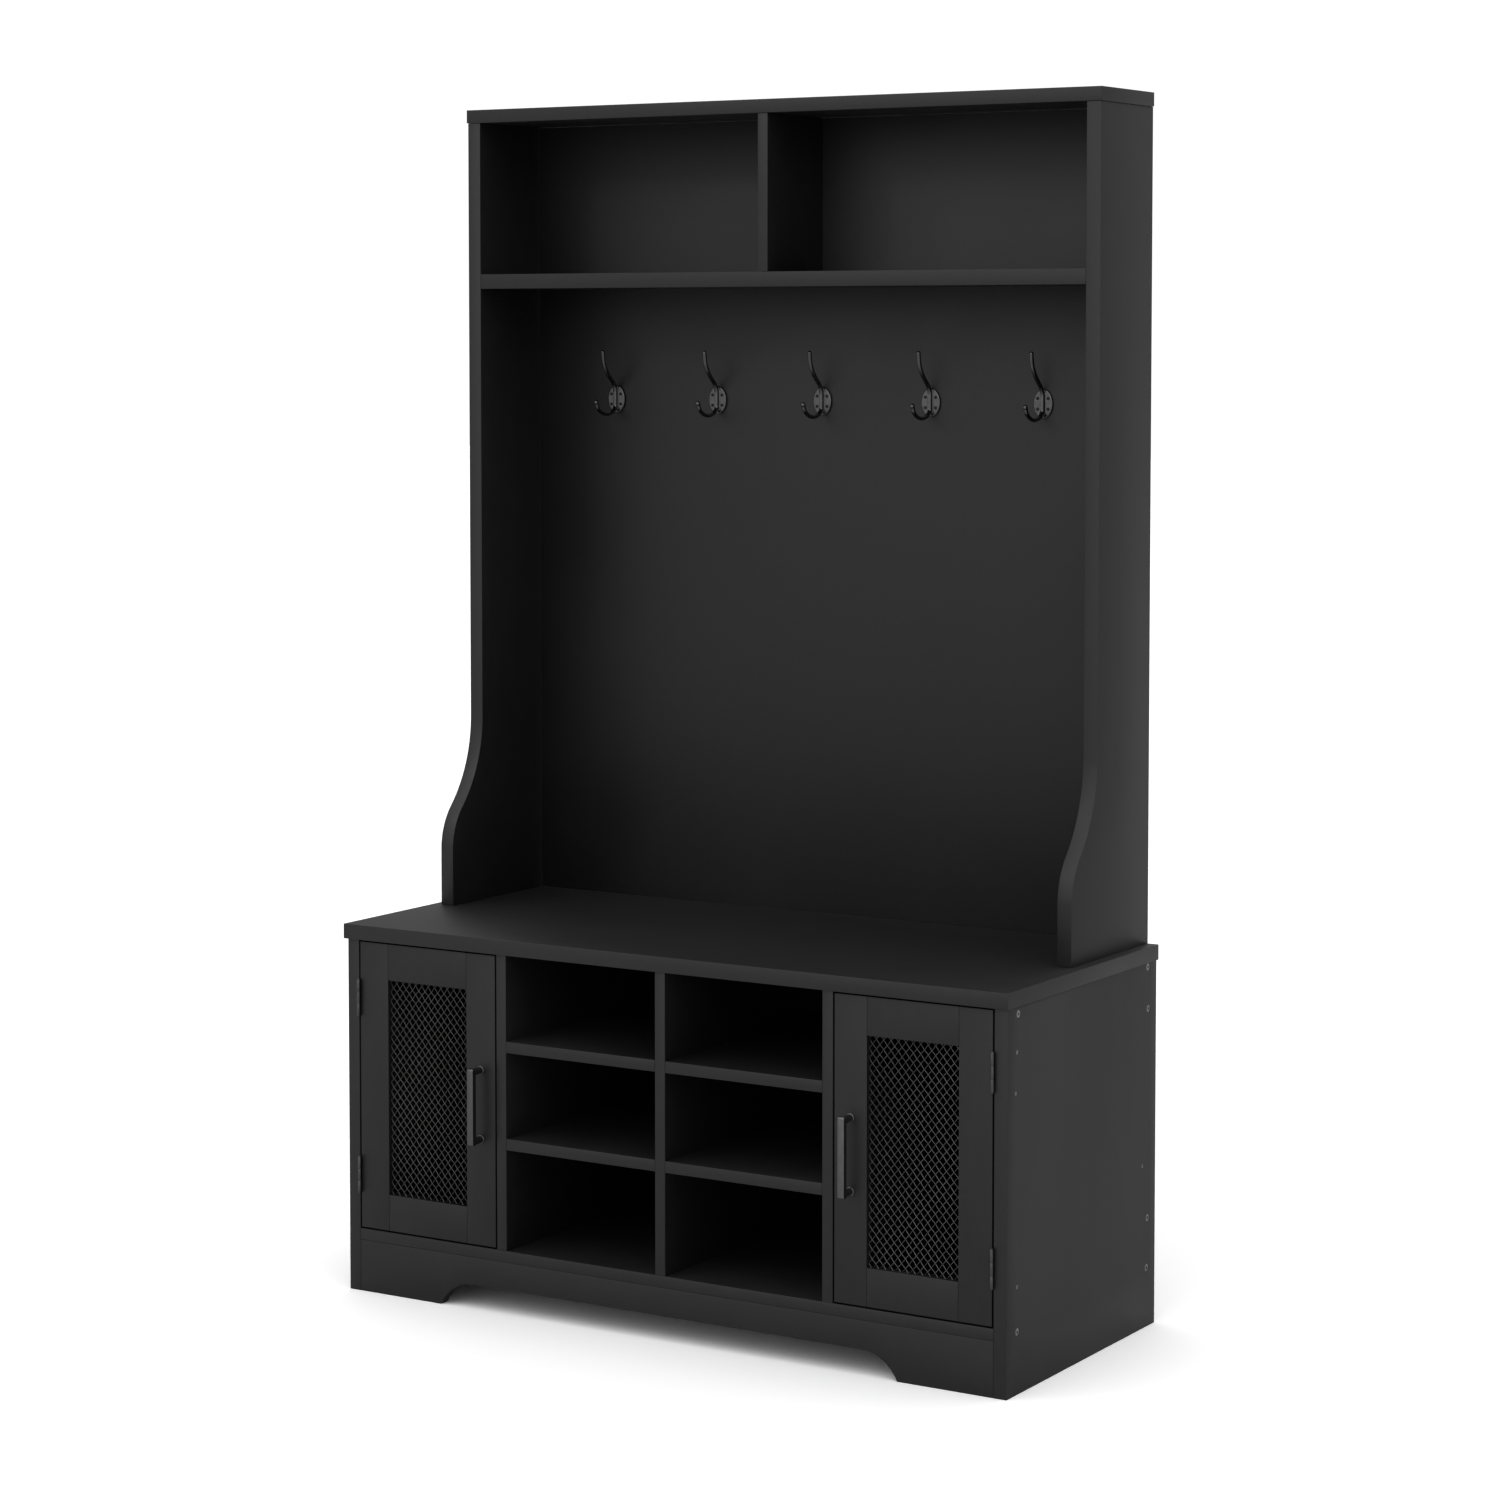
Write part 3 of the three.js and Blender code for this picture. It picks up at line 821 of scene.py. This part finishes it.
def buildMesh():
    low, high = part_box("door_left_mesh_panel")
    rising = addWires(low, high)
    falling = copied(rising)
    select(falling)
    bpy.ops.object.mode_set(mode="EDIT")
    bpy.ops.mesh.select_all(action="SELECT")
    bpy.ops.transform.rotate(
        value=math.pi, orient_axis="X", orient_type="GLOBAL", center_override=(low + high) / 2
    )
    bpy.ops.object.mode_set(mode="OBJECT")
    sheet = joined([rising, falling])
    trimToSheet(sheet, low, high)
    paint(sheet, "wireBlack")
    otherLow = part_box("door_right_mesh_panel")[0]
    twin = copied(sheet, otherLow - low)
    for hand, piece in (("left", sheet), ("right", twin)):
        node = f"door_{hand}_mesh_panel"
        finishPiece(piece, f"door_{hand}_woven_mesh", doorBody[hand], "mesh_wire", node, angle=70)


handle = {
    "barDepth": 8 * mm,
    "endRound": 2.6 * mm,
    "sideRound": 1.1 * mm,
    "postRadius": 4.7 * mm,
    "postInset": 5 * mm,
    "footRadius": 5.8 * mm,
    "footHeight": 1.8 * mm,
    "footRound": 0.8 * mm,
}


def buildHandle():
    low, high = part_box("door_left_handle")
    middleX = (low.x + high.x) / 2
    bar = addBlock(low, (high.x, low.y + handle["barDepth"], high.z))

    def frontEnd(edge):
        a, b = (v.co for v in edge.verts)
        return max(a.y, b.y) < low.y + hair and abs(a.z - b.z) < hair

    def footRim(edge):
        return sharp(edge) and all(v.co.y < high.y - hair for v in edge.verts)

    roundEdges(bar, handle["endRound"], 5, frontEnd)
    roundEdges(bar, handle["sideRound"], 3, sharp)
    for z in (low.z + handle["postInset"], high.z - handle["postInset"]):
        back = Vector((middleX, high.y, z))
        inBar = (middleX, low.y + handle["barDepth"] / 2, z)
        weld(bar, addRod(back, inBar, handle["postRadius"]))
        foot = addRod(back, back - Vector((0, handle["footHeight"], 0)), handle["footRadius"])
        roundEdges(foot, handle["footRound"], 3, footRim)
        weld(bar, foot)
    paint(bar, "handleCoat")
    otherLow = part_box("door_right_handle")[0]
    twin = copied(bar, otherLow - low)
    for hand, piece in (("left", bar), ("right", twin)):
        node = f"door_{hand}_handle"
        finishPiece(piece, f"door_{hand}_bar_handle", doorBody[hand], "handle_black", node)


for hand in hands:
    buildDoorFrame(hand)
buildMesh()
buildHandle()
print("doors ready")

# coat hooks: plate, rib and two prongs cast in one, with four screws

# forward and up from the middle of the plate's back, in mm
hook = {
    "upper": [(3.4, -8), (3.6, 4), (5, 14), (10.5, 23), (20.5, 32), (28.5, 41.5), (34, 52), (36, 65.5)],
    "lower": [(3.4, 8), (4, -9), (12, -17.5), (25, -20.7), (38, -18.7), (48, -12.5), (52.5, -4)],
    "rodRadius": 3 * mm,
    "upperTipRadius": 3.0 * mm,
    "lowerTipRadius": 3.5 * mm,
    "taper": 0.94,  # share of the rod's radius left at a tip
    "steps": 36,
    "sides": 24,
    "ribSize": (2.7 * mm, 7.0 * mm, 14.5 * mm),  # half width, reach, half height
    "ribEase": 0.8 * mm,
    "plateRound": 1.1 * mm,
    "plateThickness": 3 * mm,
    "plateHalfHeight": 19 * mm,
    "voxel": 0.45 * mm,
    "screwPlaces": [(-7.7, 7), (7.7, 7), (-7.7, -7), (7.7, -7)],
    "screwRadius": 2.2 * mm,
    "screwLift": 0.2 * mm,
    "smoothing": 2,
}


def smoothPath(points, count):
    padded = [points[0]] + points + [points[-1]]
    spans = len(points) - 1
    made = []
    for i in range(count + 1):
        whole = min(int(i * spans / count), spans - 1)
        t = i * spans / count - whole
        a, b, c, d = (Vector(p) for p in padded[whole : whole + 4])
        square = (2 * a - 5 * b + 4 * c - d) * t**2
        cube = (3 * b - a - 3 * c + d) * t**3
        curved = 2 * b + (c - a) * t + square + cube
        made.append(curved / 2)
    return made


# a disc drawn out ring by ring, each turned square to the path and a little smaller, with a ball end
def addProng(path, tipRadius):
    places = [Vector((0, -forward * mm, up * mm)) for forward, up in smoothPath(path, hook["steps"])]
    slopes = []
    for i in range(len(places)):
        run = places[min(i + 1, len(places) - 1)] - places[max(i - 1, 0)]
        slopes.append(math.atan2(-run.y, run.z))
    deselect()
    bpy.ops.mesh.primitive_circle_add(
        vertices=hook["sides"],
        radius=hook["rodRadius"],
        fill_type="NGON",
        location=places[0],
        rotation=(slopes[0], 0, 0),
    )
    rod = bpy.context.object
    settle(rod)
    bpy.ops.object.mode_set(mode="EDIT")
    bpy.ops.mesh.select_all(action="SELECT")
    shrink = hook["taper"] ** (1 / len(places))
    for i in range(1, len(places)):
        bpy.ops.mesh.extrude_region_move(TRANSFORM_OT_translate={"value": places[i] - places[i - 1]})
        bpy.ops.transform.rotate(
            value=slopes[i - 1] - slopes[i],
            orient_axis="X",
            orient_type="GLOBAL",
            center_override=places[i],
        )
        bpy.ops.transform.resize(value=(shrink,) * 3, center_override=places[i])
    bpy.ops.mesh.select_all(action="SELECT")
    bpy.ops.mesh.normals_make_consistent(inside=False)
    bpy.ops.object.mode_set(mode="OBJECT")
    deselect()
    bpy.ops.mesh.primitive_uv_sphere_add(
        segments=24, ring_count=16, radius=tipRadius, location=places[-1]
    )
    tip = bpy.context.object
    settle(tip)
    return [rod, tip]


def addHookCasting(halfWidth, halfHeight):
    deselect()
    thick = hook["plateThickness"]
    bpy.ops.mesh.primitive_cylinder_add(
        vertices=64, radius=1, depth=thick, location=(0, -thick / 2, 0), rotation=(math.pi / 2, 0, 0)
    )
    plate = bpy.context.object
    plate.scale = (halfWidth, halfHeight, 1)
    settle(plate)

    def frontRim(edge):
        return sharp(edge) and all(v.co.y < -thick * 0.9 for v in edge.verts)

    roundEdges(plate, hook["plateRound"], 4, frontRim)
    wide, reach, tall = hook["ribSize"]
    rib = addBlock((-wide, -reach, -tall), (wide, -thick / 2, tall))
    roundEdges(rib, hook["ribEase"], 3, sharp)
    upper = addProng(hook["upper"], hook["upperTipRadius"])
    lower = addProng(hook["lower"], hook["lowerTipRadius"])
    casting = joined([plate, rib] + upper + lower)
    applyModifier(casting, "REMESH", mode="VOXEL", voxel_size=hook["voxel"])
    applyModifier(casting, "SMOOTH", factor=0.5, iterations=hook["smoothing"])
    paint(casting, "hookEnamel")
    return casting


# shares of the head's radius, apart from the depth let into the plate
panScrew = {
    "letIn": 0.8 * mm,
    "height": 0.5,
    "round": 0.38,
    "slotReach": 0.55,
    "slotHalfWidth": 0.11,
    "slotFloor": 0.15,
}


# pan head with a cross recess, facing -Y, its back at the origin
def addPanScrew(radius):
    head = addRod((0, panScrew["letIn"], 0), (0, -radius * panScrew["height"], 0), radius, 24)

    def frontRim(edge):
        return sharp(edge) and all(v.co.y < 0 for v in edge.verts)

    roundEdges(head, radius * panScrew["round"], 4, frontRim)
    reach, wide = radius * panScrew["slotReach"], radius * panScrew["slotHalfWidth"]
    for turn in (0, math.pi / 2):
        arm = addBlock((-reach, -radius, -wide), (reach, -radius * panScrew["slotFloor"], wide))
        arm.rotation_euler.y = turn
        settle(arm)
        cutFrom(head, arm)
        bpy.data.objects.remove(arm)
    paint(head, "screwBlack")
    return head


def buildHooks():
    low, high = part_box("coat_hook_1")
    casting = addHookCasting((high.x - low.x) / 2, hook["plateHalfHeight"])
    screw = addPanScrew(hook["screwRadius"])
    for number in range(1, 6):
        node = f"coat_hook_{number}"
        low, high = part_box(node)
        lift = high.z - (hook["upper"][-1][1] * mm + hook["lowerTipRadius"])
        place = Vector(((low.x + high.x) / 2, high.y, lift))
        finishPiece(copied(casting, place), f"{node}_casting", "carcass", "hook_black", node, angle=60)
        face = Vector((0, -hook["plateThickness"] + hook["screwLift"], 0))
        spots = [Vector((x * mm, 0, z * mm)) for x, z in hook["screwPlaces"]]
        screws = joined([copied(screw, place + face + spot) for spot in spots])
        finishPiece(screws, f"{node}_screws", "carcass", "hook_black")
    bpy.data.objects.remove(casting)
    bpy.data.objects.remove(screw)


buildHooks()
print("hooks ready")

# hinges: leaves with knuckles and countersunk screws, and a headed pin

hingeMake = {
    "barrel": 2.3 * mm,
    "bore": 1.5 * mm,
    "pin": 1.15 * mm,
    "cap": 2.1 * mm,
    "capHeight": 1.2 * mm,
    "gap": 0.3 * mm,
    "leaf": 0.8 * mm,
    "leafDepth": 19 * mm,
    "corner": 2.5 * mm,
    "screwRadius": 2.7 * mm,
    "screwHeights": [-16 * mm, 0, 16 * mm],
    "screwDepth": 11 * mm,
    "screwProud": 0.08 * mm,
    "screwThick": 0.6 * mm,
    "slots": [(1.5 * mm, 0.28 * mm), (0.28 * mm, 1.5 * mm)],  # half length, half width
    "slotDepth": 0.5 * mm,
    "ringEase": 0.2 * mm,
    "capRound": 0.5 * mm,
}


def addKnuckle(axis, bottom, top):
    deselect()
    bpy.ops.mesh.primitive_cylinder_add(
        vertices=32,
        radius=hingeMake["barrel"],
        depth=top - bottom,
        end_fill_type="NOTHING",
        location=(axis.x, axis.y, (top + bottom) / 2),
    )
    ring = bpy.context.object
    settle(ring)
    applyModifier(ring, "SOLIDIFY", thickness=hingeMake["barrel"] - hingeMake["bore"], offset=-1)
    roundEdges(ring, hingeMake["ringEase"], 2, sharp)
    return ring


def addLeaf(axis, plateX, middle, length, knuckles, faceWay):
    half = hingeMake["leaf"] / 2
    front = axis.y + hingeMake["barrel"] + hingeMake["gap"]
    low = Vector((plateX - half, front, middle - length / 2))
    high = Vector((plateX + half, front + hingeMake["leafDepth"], middle + length / 2))
    plate = addBlock(low, high)

    def rearCorner(edge):
        a, b = (v.co for v in edge.verts)
        return min(a.y, b.y) > high.y - hair and abs(a.x - b.x) > hair

    roundEdges(plate, hingeMake["corner"], 5, rearCorner)
    parts = [plate]
    share = length / 3
    for index in knuckles:
        bottom = middle - length / 2 + index * share + hingeMake["gap"] / 2
        top = bottom + share - hingeMake["gap"]
        wallMiddle = axis.y + (hingeMake["barrel"] + hingeMake["bore"]) / 2
        parts.append(addBlock((low.x, wallMiddle, bottom), (high.x, front + 1 * mm, top)))
        parts.append(addKnuckle(axis, bottom, top))
    # screw heads lie flush on the side that faces the other leaf
    for height in hingeMake["screwHeights"]:
        face = plateX + faceWay * (half + hingeMake["screwProud"])
        spot = Vector((face, front + hingeMake["screwDepth"], middle + height))
        under = spot - Vector((faceWay * hingeMake["screwThick"], 0, 0))
        head = addRod(spot, under, hingeMake["screwRadius"], 28)
        for long, wide in hingeMake["slots"]:
            reach = Vector((hingeMake["slotDepth"], long, wide))
            slot = addBlock(spot - reach, spot + reach)
            cutFrom(head, slot)
            bpy.data.objects.remove(slot)
        parts.append(head)
    leaf = joined(parts)
    paint(leaf, "nickelSteel")
    return leaf


def addPin(axis, middle, length):
    foot, head = middle - length / 2, middle + length / 2
    pin = addRod((axis.x, axis.y, foot), (axis.x, axis.y, head), hingeMake["pin"], 24)
    for start, way in ((foot, -1), (head, 1)):
        near = start + way * hingeMake["gap"] / 2
        ends = [(axis.x, axis.y, z) for z in (near, near + way * hingeMake["capHeight"])]
        cap = addRod(*ends, hingeMake["cap"])

        def outerRim(edge, z=near):
            return sharp(edge) and all(abs(v.co.z - z) > hingeMake["capRound"] for v in edge.verts)

        roundEdges(cap, hingeMake["capRound"], 4, outerRim)
        weld(pin, cap)
    paint(pin, "nickelSteel")
    return pin


def buildHinges():
    for hand, side in hands.items():
        axis = hingeAxis[doorBody[hand]]
        offset = (hingeMake["leaf"] + hingeMake["gap"]) / 2
        for level in ("upper", "lower"):
            name = f"hinge_{hand}_{level}"
            low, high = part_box(f"{name}_frame_leaf")
            middle, length = (low.z + high.z) / 2, high.z - low.z
            plan = (
                ("frame_leaf", axis.x + side * offset, (0, 2), "carcass", -side),
                ("door_leaf", axis.x - side * offset, (1,), doorBody[hand], side),
            )
            for part, plateX, knuckles, body, faceWay in plan:
                leaf = addLeaf(axis, plateX, middle, length, knuckles, faceWay)
                finishPiece(leaf, f"{name}_{part}_steel", body, "hinge_steel", f"{name}_{part}")
            pin = addPin(axis, middle, length)
            finishPiece(pin, f"{name}_pin_steel", "carcass", "hinge_steel", f"{name}_pin")


buildHinges()
print("hinges ready")

# magnetic catches and the plates that they hold

catchMake = {
    "round": 1.0 * mm,
    "poleSize": (1.6 * mm, 2.2 * mm, 24 * mm),
    "poleOffset": 2.2 * mm,
    "poleSunk": 1.3 * mm,
    "poleEase": 0.2 * mm,
    "pocketHalf": (4 * mm, 1.2 * mm, 12.4 * mm),
    "plateCorner": 2.5 * mm,
}


def alongY(edge):
    a, b = (v.co for v in edge.verts)
    return abs(a.y - b.y) > hair


def buildCatches():
    for hand in hands:
        node = f"magnet_catch_{hand}"
        low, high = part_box(node)
        middle = (low + high) / 2
        body = addBlock(low, high)
        paint(body, "catchPlastic")
        roundEdges(body, catchMake["round"], 3)
        half = Vector(catchMake["pocketHalf"])
        face = Vector((middle.x, low.y, middle.z))
        pocket = addBlock(face - half, face + half)
        cutFrom(body, pocket)
        bpy.data.objects.remove(pocket)
        finishPiece(body, f"{node}_case", "carcass", "catch_plastic", node)
        poles = []
        for way in (-1, 1):
            x = middle.x + way * catchMake["poleOffset"]
            centre = Vector((x, low.y + catchMake["poleSunk"], middle.z))
            reach = Vector(catchMake["poleSize"]) / 2
            pole = addBlock(centre - reach, centre + reach)
            roundEdges(pole, catchMake["poleEase"], 2)
            poles.append(pole)
        steel = joined(poles)
        paint(steel, "nickelSteel")
        finishPiece(steel, f"{node}_poles", "carcass", "hinge_steel")
        plateNode = f"door_{hand}_strike_plate"
        low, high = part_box(plateNode)
        plate = addBlock(low, high)
        roundEdges(plate, catchMake["plateCorner"], 5, alongY)
        paint(plate, "nickelSteel")
        finishPiece(plate, f"{plateNode}_steel", doorBody[hand], "hinge_steel", plateNode)


buildCatches()
print("catches ready")
